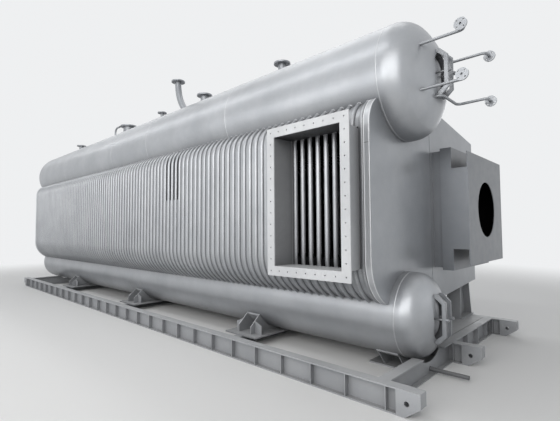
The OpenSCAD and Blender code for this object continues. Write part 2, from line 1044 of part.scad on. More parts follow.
// Solid along the gooseneck's centre line: a bend that starts inside the drum's crown,
// then an upright end run on by over
module gooseneck_path(r, over) {
    translate([drum_x, gooseneck_y - goose_bend_r, goose_bend_z])
        rotate([90, 0, 90])
            mirror([0, 1, 0])
                rotate_extrude(angle = goose_turn, $fn = dish_fn)
                    translate([goose_bend_r, 0])
                        circle(r = r);
    translate([drum_x, gooseneck_y, goose_bend_z])
        cylinder(r = r, h = goose_top + over);
}

// Tall pipe that leaves the crown leaning to the rear and bends upright to its flange
module gooseneck_nozzle() {
    color(paint) {
        difference() {
            gooseneck_path(goose_r, 0);
            gooseneck_path(goose_r - goose_wall, cut);
            drum_room(upper_z, upper_r);
        }
        translate([drum_x, gooseneck_y, goose_bend_z + goose_top])
            ring_flange(goose_r + goose_over, goose_r - goose_wall, goose_flange_t,
                        2 * (goose_r + goose_over - goose_lip), 8, goose_bolt_r);
    }
}

vent_r = 19;
vent_wall = 3.5;
vent_rise = 120;
vent_bend_r = 110;

// Thin vent pipe beside the steam outlet, bent over towards it at the top
module vent_pipe() {
    color(paint) {
        crown_pipe(vent_y, vent_r, vent_wall, vent_rise);
        translate([drum_x, vent_y - vent_bend_r, upper_crown_z() + vent_rise])
            rotate([90, 0, 90])
                pipe_bend(vent_bend_r, vent_r, vent_wall, 90);
        translate([drum_x, vent_y - vent_bend_r, upper_crown_z() + vent_rise + vent_bend_r])
            rotate([90, 0, 0])
                difference() {
                    cylinder(r = vent_r, h = vent_bend_r);
                    translate([0, 0, -cut])
                        cylinder(r = vent_r - vent_wall, h = vent_bend_r + 2 * cut);
                }
    }
}

// Solid quarter bend of a gauge pipe in the X and Y plane, about the origin, from angle a
module gauge_bend(a) {
    rotate([0, 0, a])
        rotate_extrude(angle = 90, $fn = drum_fn)
            translate([gauge_bend_r, 0])
                circle(r = gauge_pipe_r);
}

// Solid stretch of a gauge pipe along X
module gauge_run(x0, x1, y) {
    translate([x0, y, 0])
        rotate([0, 90, 0])
            cylinder(r = gauge_pipe_r, h = x1 - x0);
}

// The upper head's outline, drawn on by the seat, taken off the gauge pipes' ends
module front_head_room(z) {
    translate([0, upper_front_y - skirt, upper_z - z])
        rotate([90, 0, 0])
            rotate_extrude($fn = dish_fn)
                dish_area(upper_r, -seat, $fn = dish_fn);
}

// End of a gauge pipe: forward from y at x, then turned to the side and flanged.
// side is -1 for the gas side and 1 for the furnace side; x is measured that way
module gauge_end(side, x, y) {
    straight_end = gauge_reach_y + gauge_bend_r;
    mirror([side > 0 ? 0 : 1, 0, 0])
        translate([x, 0, 0]) {
            along_y(straight_end, y)
                circle(r = gauge_pipe_r);
            translate([gauge_bend_r, straight_end, 0])
                gauge_bend(180);
            gauge_run(gauge_bend_r, gauge_bend_r + gauge_arm, gauge_reach_y);
            translate([gauge_bend_r + gauge_arm, gauge_reach_y, 0])
                rotate([0, 90, 0])
                    ring_flange(gauge_flange_r, gauge_pipe_r - 3, gauge_flange_t,
                                gauge_hole_pcd, 4, gauge_hole_r);
        }
}

// Gauge pipe that comes straight out of the head
module gauge_pipe(side, z) {
    translate([drum_x, 0, z])
        difference() {
            gauge_end(side, gauge_x, upper_front_y);
            front_head_room(z);
        }
}

// Gauge pipe that leaves the head on the other side of the axis and crosses under the manhole
module crossing_gauge_pipe(z) {
    bend_y = gauge_cross_y + gauge_bend_r;
    translate([drum_x, 0, z])
        difference() {
            union() {
                translate([gauge_root_x, 0, 0])
                    along_y(bend_y, upper_front_y)
                        circle(r = gauge_pipe_r);
                translate([gauge_root_x + gauge_bend_r, bend_y, 0])
                    gauge_bend(180);
                gauge_run(gauge_root_x + gauge_bend_r, gauge_x - gauge_bend_r, gauge_cross_y);
                translate([gauge_x - gauge_bend_r, gauge_cross_y - gauge_bend_r, 0])
                    gauge_bend(0);
                gauge_end(1, gauge_x, gauge_cross_y - gauge_bend_r);
            }
            front_head_room(z);
        }
}

module upper_gauge_pipes() {
    color(paint)
        for (side = [-1, 1])
            gauge_pipe(side, upper_z + gauge_z);
}

module lower_gauge_pipes() {
    color(paint) {
        gauge_pipe(-1, upper_z - gauge_z);
        crossing_gauge_pipe(upper_z - gauge_cross_z);
    }
}

// Drum saddle: a base plate, two ribs cut to the drum, a pad between them and the drum,
// and short stiffeners on the ribs' outer faces
module drum_saddle(y) {
    base_z = low_beam_depth;
    base_right = -flange_w / 2 - 12;
    rib_left = -1010;
    rib_right = -70;
    knee_z = base_z + saddle_plate_t + 84;
    touch = lower_r * 0.87;
    touch_z = lower_z - lower_r * 0.5;
    rib_y = saddle_rib_gap / 2;
    color(skid_paint)
        translate([0, y, 0])
            difference() {
                union() {
                    box([saddle_left, -saddle_half, base_z],
                        [base_right, saddle_half, base_z + saddle_plate_t]);
                    for (side = [-1, 1])
                        along_y(side * rib_y - rib_t / 2, side * rib_y + rib_t / 2)
                            polygon([
                                [rib_left, base_z + saddle_plate_t], [rib_left, knee_z],
                                [drum_x - touch, touch_z], [drum_x, lower_z],
                                [drum_x + touch, touch_z], [rib_right, knee_z],
                                [rib_right, base_z + saddle_plate_t]
                            ]);
                    for (x = gusset_places, side = [-1, 1])
                        translate([x, 0, 0])
                            rotate([90, 0, 90])
                                linear_extrude(gusset_t)
                                    gusset(side, rib_y + rib_t / 2, base_z + saddle_plate_t);
                    along_y(-rib_y - rib_t / 2, rib_y + rib_t / 2)
                        intersection() {
                            translate([drum_x, lower_z])
                                circle(r = lower_r + pad_t, $fn = drum_fn);
                            translate([drum_x - touch, 0])
                                square([2 * touch, touch_z]);
                        }
                }
                translate([drum_x, 0, lower_z])
                    along_y(-saddle_half - cut, saddle_half + cut)
                        circle(r = lower_r + seat, $fn = drum_fn);
            }
}

// Plate that stays a saddle's rib on its outer face, in Y and Z
module gusset(side, y, z) {
    polygon([
        [side * y, z], [side * (y + gusset_reach), z],
        [side * (y + gusset_reach), z + gusset_edge], [side * y, z + gusset_rise]
    ]);
}

// Narrow saddle next to an end cross-beam: two ribs that widen from their foot to the drum
module end_saddle(y) {
    base_over = 30;
    touch_z = lower_z - sqrt(lower_r * lower_r - cradle_half * cradle_half);
    rib_y = saddle_rib_gap / 2;
    color(skid_paint)
        translate([0, y, 0])
            difference() {
                union() {
                    box([drum_x - cradle_foot - base_over, -saddle_half, 0],
                        [-flange_w / 2 - 12, saddle_half, saddle_plate_t]);
                    for (side = [-1, 1])
                        along_y(side * rib_y - rib_t / 2, side * rib_y + rib_t / 2)
                            polygon([
                                [drum_x - cradle_foot, saddle_plate_t],
                                [drum_x - cradle_half, touch_z], [drum_x, lower_z],
                                [drum_x + cradle_half, touch_z],
                                [drum_x + cradle_foot, saddle_plate_t]
                            ]);
                    along_y(-rib_y - rib_t / 2, rib_y + rib_t / 2)
                        intersection() {
                            translate([drum_x, lower_z])
                                circle(r = lower_r + pad_t, $fn = drum_fn);
                            translate([drum_x - cradle_half, 0])
                                square([2 * cradle_half, touch_z]);
                        }
                }
                translate([drum_x, 0, lower_z])
                    along_y(-saddle_half - cut, saddle_half + cut)
                        circle(r = lower_r + seat, $fn = drum_fn);
            }
}

module drum_saddle_front() {
    end_saddle(end_saddle_y);
}

module drum_saddle_second() {
    drum_saddle(saddle_first_y);
}

module drum_saddle_third() {
    drum_saddle(saddle_first_y + saddle_pitch);
}

module drum_saddle_fourth() {
    drum_saddle(saddle_first_y + 2 * saddle_pitch);
}

module drum_saddle_rear() {
    end_saddle(last_stiffener - end_saddle_y);
}

// Furnace leg: a web between two flange plates on a base plate, its top cut to the floor's slope
module furnace_leg(y) {
    foot_z = beam_depth + saddle_plate_t;
    leg_t = 14;
    taper = 90;
    base_over = 20;
    under = tube_r + seat;
    translate([0, y, 0]) {
        box([leg_left_x - base_over, -leg_depth / 2 - base_over, beam_depth],
            [leg_right_x + base_over, leg_depth / 2 + base_over, foot_z]);
        difference() {
            union() {
                along_y(-web_t / 2, web_t / 2)
                    polygon([
                        [leg_left_x, foot_z], [leg_right_x, foot_z],
                        [leg_right_x - taper, floor_corner_z], [leg_left_x, floor_corner_z]
                    ]);
                along_y(-leg_depth / 2, leg_depth / 2) {
                    translate([leg_left_x, foot_z])
                        square([leg_t, floor_corner_z - foot_z]);
                    polygon([
                        [leg_right_x - leg_t, foot_z], [leg_right_x, foot_z],
                        [leg_right_x - taper, floor_corner_z],
                        [leg_right_x - taper - leg_t, floor_corner_z]
                    ]);
                }
            }
            translate([drum_x, 0, lower_z])
                rotate([0, -floor_slope, 0])
                    translate([0, -leg_depth, -under])
                        cube([3 * roof_run, 2 * leg_depth, roof_run]);
        }
    }
}

module furnace_legs() {
    color(skid_paint)
        for (i = [0 : 3])
            furnace_leg(leg_first_y + i * leg_pitch);
}

// Blowdown pipe: down from the lower drum, then forward through the front cross-beam
module blowdown_pipe() {
    top_z = blowdown_z + blowdown_bend_r;
    color(skid_paint) {
        translate([drum_x, 0, blowdown_z])
            along_y(blowdown_front, blowdown_back)
                difference() {
                    circle(r = blowdown_r);
                    circle(r = blowdown_r - blowdown_wall);
                }
        translate([drum_x, blowdown_back, top_z])
            rotate([90, 0, 90])
                rotate([0, 0, -90])
                    pipe_bend(blowdown_bend_r, blowdown_r, blowdown_wall, 90);
        difference() {
            translate([drum_x, blowdown_riser_y, top_z])
                difference() {
                    cylinder(r = blowdown_r, h = lower_z - lower_r);
                    translate([0, 0, -cut])
                        cylinder(r = blowdown_r - blowdown_wall, h = lower_z - lower_r + cut);
                }
            drum_room(lower_z, lower_r);
        }
    }
}

long_beam(-beam_spacing);  // skid_left_beam
long_beam(0);  // skid_centre_beam
long_beam(beam_spacing);  // skid_right_beam
front_cross_beam();
rear_cross_beam();
saddle_cross_beams();
leg_deck_plate();
drum_saddle_front();
drum_saddle_second();
drum_saddle_third();
drum_saddle_fourth();
drum_saddle_rear();
furnace_legs();
lower_drum_shell();
lower_drum_front_head();
lower_drum_rear_head();
upper_drum_shell();
upper_drum_front_head();
upper_drum_rear_head();
lower_manhole_cover();
lower_manhole_yokes();
upper_manhole_cover();
upper_manhole_yokes();
gas_wall_tubes();
gas_wall_top_bend();
gas_wall_bottom_bend();
furnace_roof_tubes();
furnace_roof_bend();
furnace_side_tubes();
furnace_floor_bend();
furnace_floor_tubes();
front_casing();
front_edge_band();
furnace_front_wall();
rear_casing();
rear_edge_band();
flue_duct();
flue_duct_flange();
burner_rear_box();
burner_neck();
burner_front_plate();
steam_outlet_nozzle();
safety_valve_nozzles();
feed_water_nozzle();
auxiliary_nozzle();
gooseneck_nozzle();
vent_pipe();
upper_gauge_pipes();
lower_gauge_pipes();
blowdown_pipe();
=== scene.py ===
import math

import bpy
from mathutils import Matrix, Vector


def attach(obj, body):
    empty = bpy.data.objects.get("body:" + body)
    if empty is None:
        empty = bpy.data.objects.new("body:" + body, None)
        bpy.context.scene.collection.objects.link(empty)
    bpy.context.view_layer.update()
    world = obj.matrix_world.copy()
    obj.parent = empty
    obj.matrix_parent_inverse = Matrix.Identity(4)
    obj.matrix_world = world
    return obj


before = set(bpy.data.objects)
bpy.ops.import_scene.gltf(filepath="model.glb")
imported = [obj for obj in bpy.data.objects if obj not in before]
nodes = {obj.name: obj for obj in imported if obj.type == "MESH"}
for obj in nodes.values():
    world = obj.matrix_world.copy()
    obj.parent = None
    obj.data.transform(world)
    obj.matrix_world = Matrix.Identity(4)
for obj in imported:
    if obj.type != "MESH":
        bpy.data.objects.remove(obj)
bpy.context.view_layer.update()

# Sizes of the boiler in metres, as the part's source has them
DRUM_X = -0.506
UPPER_Z, UPPER_R = 2.834, 0.580
LOWER_Z, LOWER_R = 0.536, 0.410
UPPER_SEAMS_Y = (0.245, 2.414, 4.504, 5.876, 8.102, 10.381)
LOWER_SEAMS_Y = (0.210, 10.416)
TUBE_R, PITCH, TUBES, FIRST_Y = 0.0255, 0.100, 100, 0.363
CASING_Y, REAR_CASING_Y, CASING_T = 0.267, 10.359, 0.010
# From the tubes' centre line out to the casing's edge
CASING_GAP = 0.028
# From the casing's outer face to the weld on the far edge of its band
BAND_REACH = 0.064
# Degrees from level at which the tubes enter the drums
TOP_SLOPE, BOTTOM_SLOPE, ROOF_SLOPE, FLOOR_SLOPE = 29.5, 23.0, 8.0, 4.0
# The tubes' bends: centre in X and Z, and radius of the tubes' centre line
TOP_BEND = (-0.8718, 2.3189, 0.2682)
BOTTOM_BEND = (-0.7068, 1.0919, 0.4332)
ROOF_BEND = (1.4140, 2.3622, 0.2000)
FLOOR_BEND = (1.4140, 0.8708, 0.2000)

# The room within the tubes, black as soot and as painted shade of the closed room: its walls
# in X, its casings in Y, and the lines that it lies under and over, each as a slope and a height
# at X = 0
ROOM_X = (-1.136, 1.608)
ROOM_Y = (0.2775, 10.3485)
ROOM_TOP = ((0.5655, 3.1201), (-0.1405, 2.757))
ROOM_BOTTOM = ((-0.4245, 0.3212), (0.0699, 0.577))
ROOM_INSET = 0.004

# The burner box is black inside, painted shade of its closed inside: its collar, rear box and neck,
# just into their plates
BURNER_ROOMS = (
    ((0.232, 0.160, 0.942), (1.468, 0.272, 2.238)),
    ((0.207, 0.055, 0.917), (1.493, 0.163, 2.263)),
    ((0.207, -0.113, 1.152), (1.493, 0.060, 2.028)),
)
DUCT_HOLLOW = ((-1.445, 0.407, 1.012), (-1.160, 1.199, 2.294))
# The fins' ends behind the duct's opening are black, painted shade within the duct as well as soot
DUCT_FINS = (
    ((-1.1448, 0.400, 1.000), (-1.1352, 1.210, 1.130)),
    ((-1.1448, 0.400, 2.200), (-1.1352, 1.210, 2.310)),
)
# Butt joint across the front casing's band
BAND_JOINT = ((-1.175, 0.276, 2.1435), (-1.150, 0.338, 2.1475))


def link(obj):
    bpy.context.scene.collection.objects.link(obj)
    return obj


# ---------------------------------------------------------------- materials

RUN_COLOUR = (0.30, 0.29, 0.28, 1.0)
DUST_COLOUR = (0.60, 0.57, 0.52, 1.0)
RUST_COLOUR = (0.25, 0.13, 0.07, 1.0)
# Colour of the painted shade in corners, creases and under things
CORNER_SHADE_COLOUR = (0.10, 0.10, 0.105, 1.0)
# Near black of the painted shade under a hollow's roof
HOLLOW_SHADE_COLOUR = (0.025, 0.025, 0.027, 1.0)
JOINT_COLOUR = (0.07, 0.07, 0.07, 1.0)
# Black of the soot and painted shade inside the closed rooms
SOOT_AND_SHADE_COLOUR = (0.005, 0.005, 0.0055, 1.0)
DUST_ROUGHNESS, SOOT_ROUGHNESS = 0.18, 0.9
SPECULAR = 0.5
# How far the painted shade under a hollow's roof looks for cover
HOLLOW_SHADE_REACH = 0.9
WAVE_HEIGHT, GRAIN_HEIGHT = 0.010, 0.0006


class Graph:
    """Adds shader nodes to a tree and joins them."""

    def __init__(self, tree):
        self.tree = tree

    def node(self, kind, **values):
        n = self.tree.nodes.new(kind)
        for k, v in values.items():
            setattr(n, k, v)
        return n

    def put(self, value, socket):
        """Links a socket's output, or sets a number or colour."""
        if isinstance(value, bpy.types.NodeSocket):
            self.tree.links.new(value, socket)
        else:
            socket.default_value = value

    def fill(self, node, **values):
        for k, v in values.items():
            self.put(v, node.inputs[k.replace("_", " ")])
        return node

    def math(self, op, a, b, clamp=False):
        n = self.node("ShaderNodeMath", operation=op, use_clamp=clamp)
        self.put(a, n.inputs[0])
        self.put(b, n.inputs[1])
        return n.outputs[0]

    def ramp(self, value, low, high, out_low=0.0, out_high=1.0, **kind):
        n = self.node("ShaderNodeMapRange", **kind)
        self.fill(n, Value=value, From_Min=low, From_Max=high, To_Min=out_low, To_Max=out_high)
        return n.outputs["Result"]

    def noise(self, vector, scale, detail, roughness):
        n = self.node("ShaderNodeTexNoise")
        self.fill(n, Vector=vector, Scale=scale, Detail=detail, Roughness=roughness)
        return n.outputs["Fac"]

    def stretched(self, vector, scale):
        n = self.fill(self.node("ShaderNodeMapping"), Vector=vector, Scale=scale)
        return n.outputs["Vector"]

    def mix(self, factor, a, b):
        n = self.node("ShaderNodeMix", data_type="RGBA", blend_type="MIX")
        self.fill(n, Factor=factor, A=a, B=b)
        return n.outputs["Result"]

    def axes(self, vector):
        n = self.node("ShaderNodeSeparateXYZ")
        self.put(vector, n.inputs[0])
        return n.outputs

    def openness(self, reach):
        """1 where nothing stands within reach of the surface, less in a corner or hollow."""
        n = self.fill(self.node("ShaderNodeAmbientOcclusion", samples=4), Distance=reach)
        return n.outputs["AO"]


def new_material(name):
    mat = bpy.data.materials.new(name)
    mat.use_nodes = True
    mat.node_tree.nodes.clear()
    return mat, Graph(mat.node_tree)


def grey(value, blue):
    return (value, value + blue * 0.4, value + blue, 1.0)


def box_mask(g, position, low, high):
    """1 inside a box, 0 outside it."""
    mask = None
    for value, a, b in zip(g.axes(position), low, high):
        above = g.math("GREATER_THAN", value, a)
        part = g.math("MULTIPLY", above, g.math("LESS_THAN", value, b))
        mask = part if mask is None else g.math("MULTIPLY", mask, part)
    return mask


def room_mask(g, position):
    """1 inside the gas-tight room within the tubes, 0 outside it."""
    x, y, z = g.axes(position)
    mask = g.math("GREATER_THAN", x, ROOM_X[0])
    for value, op, limit in (
        (x, "LESS_THAN", ROOM_X[1]),
        (y, "GREATER_THAN", ROOM_Y[0]),
        (y, "LESS_THAN", ROOM_Y[1]),
    ):
        mask = g.math("MULTIPLY", mask, g.math(op, value, limit))

    def lines(op, pair):
        heights = [g.math("ADD", g.math("MULTIPLY", x, slope), at_0) for slope, at_0 in pair]
        return g.math(op, *heights)

    below = g.math("LESS_THAN", z, lines("MINIMUM", ROOM_TOP))
    above = g.math("GREATER_THAN", z, lines("MAXIMUM", ROOM_BOTTOM))
    mask = g.math("MULTIPLY", g.math("MULTIPLY", mask, below), above)
    # At a bend, from its centre's height and its end in X on, the room lies within its radius
    for (centre_x, centre_z, r), before_z, before_x, end_x in (
        (TOP_BEND, "LESS_THAN", "GREATER_THAN", -1.004),
        (BOTTOM_BEND, "GREATER_THAN", "GREATER_THAN", -0.876),
        (ROOF_BEND, "LESS_THAN", "LESS_THAN", 1.442),
        (FLOOR_BEND, "GREATER_THAN", "LESS_THAN", 1.428),
    ):
        dx = g.math("SUBTRACT", x, centre_x)
        dz = g.math("SUBTRACT", z, centre_z)
        squares = g.math("ADD", g.math("MULTIPLY", dx, dx), g.math("MULTIPLY", dz, dz))
        within = g.math("LESS_THAN", squares, (r - ROOM_INSET) ** 2)
        within = g.math("MAXIMUM", within, g.math(before_z, z, centre_z))
        within = g.math("MAXIMUM", within, g.math(before_x, x, end_x))
        mask = g.math("MULTIPLY", mask, within)
    return mask


def paint(
    name,
    base,
    blue,
    rough,
    metal,
    streak=0.10,
    dust=0.10,
    bump=0.12,
    rust=0.0,
    mottle=0.06,
    ao_reach=0.12,
    ao_dark=0.45,
    soot_and_shade=False,
    rooms=(),
    hollow=None,
    joints=(),
):
    """Sprayed paint: cloudy colour, faint runs, settled dust, painted shade in corners, fine bumps.

    One flag blackens the room within the tubes, as soot and painted shade, rooms blackens boxes
    the same way, hollow is a box with painted shade under its roof, and joints are boxes as thin
    as a line."""
    mat, g = new_material(name)
    out = g.node("ShaderNodeOutputMaterial")
    bsdf = g.node("ShaderNodeBsdfPrincipled")
    g.put(bsdf.outputs[0], out.inputs[0])
    geometry = g.node("ShaderNodeNewGeometry")
    pos = geometry.outputs["Position"]
    upward = g.axes(geometry.outputs["Normal"])[2]

    clouds = g.noise(pos, 1.7, 5.0, 0.6)
    patches = g.noise(pos, 9.0, 3.0, 0.5)
    runs = g.noise(g.stretched(pos, (14.0, 14.0, 0.9)), 1.0, 4.0, 0.65)
    dark, pale = grey(base * 0.90, blue), grey(base * 1.07, blue)
    colour = g.mix(g.ramp(clouds, 0.35, 0.65), dark, pale)
    patch = grey(base * 0.88, blue * 1.4)
    colour = g.mix(g.ramp(patches, 0.45, 0.75, 0.0, 0.35), colour, patch)
    colour = g.mix(g.ramp(runs, 0.55, 0.80, 0.0, streak), colour, RUN_COLOUR)
    settled = g.ramp(patches, 0.25, 0.75, 0.4, 1.0)
    dusty = g.math("MULTIPLY", g.ramp(upward, 0.55, 1.0), settled)
    colour = g.mix(g.math("MULTIPLY", dusty, dust), colour, DUST_COLOUR)
    if rust > 0.0:
        spots = g.ramp(g.noise(pos, 26.0, 6.0, 0.7), 0.66, 0.74, 0.0, rust)
        spots = g.math("MULTIPLY", spots, g.ramp(clouds, 0.50, 0.62))
        colour = g.mix(spots, colour, RUST_COLOUR)
    # Painted shade: darker the less open the surface is, in corners, creases and under things
    corner_shade = g.ramp(g.openness(ao_reach), 0.35, 0.95, ao_dark, 0.0)
    colour = g.mix(corner_shade, colour, CORNER_SHADE_COLOUR)
    if hollow:
        # Painted shade in the hollow, deeper where it is more shut in: the roof is darkest and the
        # floor has none
        deep = g.ramp(g.openness(HOLLOW_SHADE_REACH), 0.70, 1.10, 1.0, 0.0)
        hollow_shade = g.math("MULTIPLY", deep, g.ramp(upward, -0.5, 0.5, 1.0, 0.0))
        hollow_shade = g.math("MULTIPLY", hollow_shade, box_mask(g, pos, *hollow))
        colour = g.mix(hollow_shade, colour, HOLLOW_SHADE_COLOUR)
    for low, high in joints:
        colour = g.mix(box_mask(g, pos, low, high), colour, JOINT_COLOUR)

    roughness = g.ramp(patches, 0.3, 0.7, rough - mottle, rough + mottle)
    added = g.math("MULTIPLY", dusty, DUST_ROUGHNESS)
    roughness = g.math("ADD", roughness, added, clamp=True)
    metallic = metal
    inside = room_mask(g, pos) if soot_and_shade else None
    for low, high in rooms:
        room = box_mask(g, pos, low, high)
        inside = room if inside is None else g.math("MAXIMUM", inside, room)
    # Black inside the rooms: soot, and painted shade of their closed insides
    if inside is not None:
        colour = g.mix(inside, colour, SOOT_AND_SHADE_COLOUR)
        soot_roughness = g.math("MULTIPLY", inside, SOOT_ROUGHNESS)
        roughness = g.math("MAXIMUM", roughness, soot_roughness)
        outside_rooms = g.math("SUBTRACT", 1.0, inside)
        metallic = g.math("MULTIPLY", outside_rooms, metal)
        specular = g.math("MULTIPLY", outside_rooms, SPECULAR)
        g.fill(bsdf, Specular_IOR_Level=specular)

    waves = g.math("MULTIPLY", g.noise(pos, 5.0, 2.0, 0.5), WAVE_HEIGHT)
    grain = g.math("MULTIPLY", g.noise(pos, 420.0, 2.0, 0.6), GRAIN_HEIGHT)
    bumps = g.node("ShaderNodeBump")
    g.fill(bumps, Strength=bump, Distance=1.0, Height=g.math("ADD", waves, grain))
    g.fill(
        bsdf,
        Base_Color=colour,
        Roughness=roughness,
        Metallic=metallic,
        Normal=bumps.outputs[0],
    )
    return mat


DRUM = paint(
    "drum_paint", 0.40, 0.034, rough=0.35, metal=0.55, streak=0.06, bump=0.012,
    mottle=0.012, ao_reach=0.35, ao_dark=0.72, soot_and_shade=True,
)
WALL = paint(
    "tube_paint", 0.43, 0.034, rough=0.34, metal=0.50, streak=0.30, bump=0.05,
    mottle=0.03, ao_reach=0.30, ao_dark=0.90, soot_and_shade=True, rooms=DUCT_FINS,
)
CASING = paint(
    "casing_paint", 0.36, 0.034, rough=0.30, metal=0.50, streak=0.06, bump=0.04,
    mottle=0.02, ao_dark=0.30, soot_and_shade=True, rooms=BURNER_ROOMS[:1], joints=(BAND_JOINT,),
)
# The band is the casing's plate in a lighter copy of its paint, as painted light on the band
BAND_LIT_PAINT = paint(
    "edge_band_painted_light", 0.50, 0.034, rough=0.34, metal=0.40, streak=0.05, bump=0.04,
    mottle=0.02, ao_dark=0.10, soot_and_shade=True, joints=(BAND_JOINT,),
)
DUCT = paint(
    "duct_paint", 0.46, 0.026, rough=0.48, metal=0.12, streak=0.06, hollow=DUCT_HOLLOW
)
DUCT_FLANGE = paint(
    "duct_flange_paint", 0.54, 0.024, rough=0.48, metal=0.12, streak=0.05
)
# The burner box's paint is much darker than the casing's, as painted shade on its front
BOX_SHADED_PAINT = paint(
    "burner_box_painted_shade", 0.185, 0.026, rough=0.36, metal=0.40, streak=0.04, bump=0.05,
    mottle=0.03, ao_reach=0.25, rooms=BURNER_ROOMS,
)
SKID = paint(
    "skid_paint", 0.44, 0.034, rough=0.45, metal=0.20, streak=0.08, dust=0.22,
    rust=0.18, ao_reach=0.45, ao_dark=0.60,
)
DRAIN = paint("drain_pipe_paint", 0.12, 0.01, rough=0.5, metal=0.2, rust=0.3)
WELD = paint("weld_bead", 0.48, 0.03, rough=0.34, metal=0.45, streak=0.0, bump=0.3)
# The edge welds are painted near white and kept out of the corner shade, as a painted highlight
# along the casing's rim
EDGE_WELD_HIGHLIGHT = paint(
    "edge_weld_painted_highlight", 0.70, 0.03, rough=0.40, metal=0.20, streak=0.0, bump=0.2,
    ao_dark=0.05,
)
PIPE = paint("pipe_paint", 0.30, 0.03, rough=0.34, metal=0.5, streak=0.02)
FLANGE = paint("flange_paint", 0.28, 0.03, rough=0.38, metal=0.5, streak=0.02)

BEAMS = (
    "skid_left_beam", "skid_centre_beam", "skid_right_beam", "front_cross_beam",
    "rear_cross_beam", "saddle_cross_beams", "furnace_legs",
)
SADDLES = tuple(
    f"drum_saddle_{place}" for place in ("front", "second", "third", "fourth", "rear")
)
BURNER_BOX = ("burner_rear_box", "burner_neck", "burner_front_plate")
YOKES = ("upper_manhole_yokes", "lower_manhole_yokes")
BANDS = ("front_edge_band", "rear_edge_band")

PAINTED = (
    (SKID, BEAMS + SADDLES + ("leg_deck_plate",)),
    (DRAIN, ("blowdown_pipe",)),
    (BAND_LIT_PAINT, BANDS),
    (DUCT, ("flue_duct",)),
    (DUCT_FLANGE, ("flue_duct_flange",)),
    (BOX_SHADED_PAINT, BURNER_BOX),
    (PIPE, YOKES + ("vent_pipe", "upper_gauge_pipes", "lower_gauge_pipes")),
)
PAINT_OF = {name: mat for mat, names in PAINTED for name in names}


def material_for(name):
    if name in PAINT_OF:
        return PAINT_OF[name]
    if "drum" in name or "manhole" in name:
        return DRUM
    if name.endswith(("_tubes", "_bend")):
        return WALL
    if "nozzle" in name:
        return FLANGE
    return CASING


for name, obj in nodes.items():
    obj.data.materials.clear()
    obj.data.materials.append(material_for(name))

PLATE_EDGES = BEAMS + SADDLES + BURNER_BOX + BANDS + (
    "flue_duct_flange", "front_casing", "rear_casing",
)
for names, width in ((PLATE_EDGES, 0.003), (YOKES, 0.008)):
    for name in names:
        edge = nodes[name].modifiers.new("edge", "BEVEL")
        edge.width = width
        edge.segments = 2
        edge.limit_method = "ANGLE"
        edge.angle_limit = math.radians(40)

# ---------------------------------------------------------------- weld beads

# A bead's edges are sunk this far into what it lies on
SUNK = 0.001
RING_POINTS, RING_HALF_WIDTH, RING_HEIGHT, RING_RIPPLE = 144, 0.007, 0.002, 0.0006
# Legs of the fillets, along what the tube or nozzle enters and along the tube or nozzle
TUBE_FILLET = (0.008, 0.007)
NOZZLE_FILLET = (0.010, 0.010)
SEAM_HALF_WIDTH, SEAM_HEIGHT = 0.006, 0.003
ALONG = Vector((0, 1, 0))


def mesh_object(name, verts, faces):
    mesh = bpy.data.meshes.new(name)
    mesh.from_pydata([tuple(v) for v in verts], [], faces)
    mesh.validate()
    mesh.update()
    return link(bpy.data.objects.new(name, mesh))


def bead(name, verts, faces, mat, sharp_angle=35.0):
    obj = mesh_object(name, verts, faces)
    obj.data.shade_smooth()
    obj.data.set_sharp_from_angle(angle=math.radians(sharp_angle))
    obj.data.materials.append(mat)
    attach(obj, "root")


def strip_faces(rows, steps, start=0, closed=True, flip=False):
    """Faces between neighbouring rows of steps + 1 points, the first of which is start."""
    faces = []
    for i in range(rows if closed else rows - 1):
        p = start + i * (steps + 1)
        q = start + (i + 1) % rows * (steps + 1)
        for k in range(steps):
            a, b, c, d = p + k, q + k, q + k + 1, p + k + 1
            faces.append((a, d, c, b) if flip else (a, b, c, d))
    return faces


def ring(name, y, z, radius):
    """A rounded bead round a drum: half an ellipse swept about the drum's axis."""
    side = ALONG.orthogonal().normalized()
    other = ALONG.cross(side)
    verts = []
    steps = 6
    for i in range(RING_POINTS):
        a = 2 * math.pi * i / RING_POINTS
        out = side * math.cos(a) + other * math.sin(a)
        height = RING_HEIGHT + SUNK + RING_RIPPLE * math.sin(a * RING_POINTS / 3.1)
        for k in range(steps + 1):
            t = math.pi * k / steps
            r = radius - SUNK + height * math.sin(t)
            point = Vector((DRUM_X, y, z)) + out * r
            verts.append(point + ALONG * (RING_HALF_WIDTH * math.cos(t)))
    bead(name, verts, strip_faces(RING_POINTS, steps, flip=True), WELD)


for i, y in enumerate(UPPER_SEAMS_Y):
    ring(f"upper_drum_weld_{i}", y, UPPER_Z, UPPER_R)
for i, y in enumerate(LOWER_SEAMS_Y):
    ring(f"lower_drum_weld_{i}", y, LOWER_Z, LOWER_R)


def tube_beads(name, z, radius, angle):
    """A fillet round each wall tube where it enters a drum; angle is measured from +X."""
    a = math.radians(angle)
    out = Vector((math.cos(a), 0, math.sin(a)))
    across = out.cross(ALONG)
    verts, faces = [], []
    around, steps = 16, 4
    for n in range(TUBES):
        foot = Vector((DRUM_X, FIRST_Y + n * PITCH, z))
        faces += strip_faces(around, steps, start=len(verts))
        for i in range(around):
            t = 2 * math.pi * i / around
            ray = ALONG * math.cos(t) + across * math.sin(t)
            # How far the drum has curved away at this point of the tube
            sag = (TUBE_R * math.sin(t)) ** 2 / (2 * radius)
            for k in range(steps + 1):
                s = math.pi * 0.5 * k / steps
                r = TUBE_R - SUNK + TUBE_FILLET[0] * math.cos(s)
                h = radius - sag - SUNK + TUBE_FILLET[1] * math.sin(s)
                verts.append(foot + ray * r + out * h)
    bead(name, verts, faces, WALL)


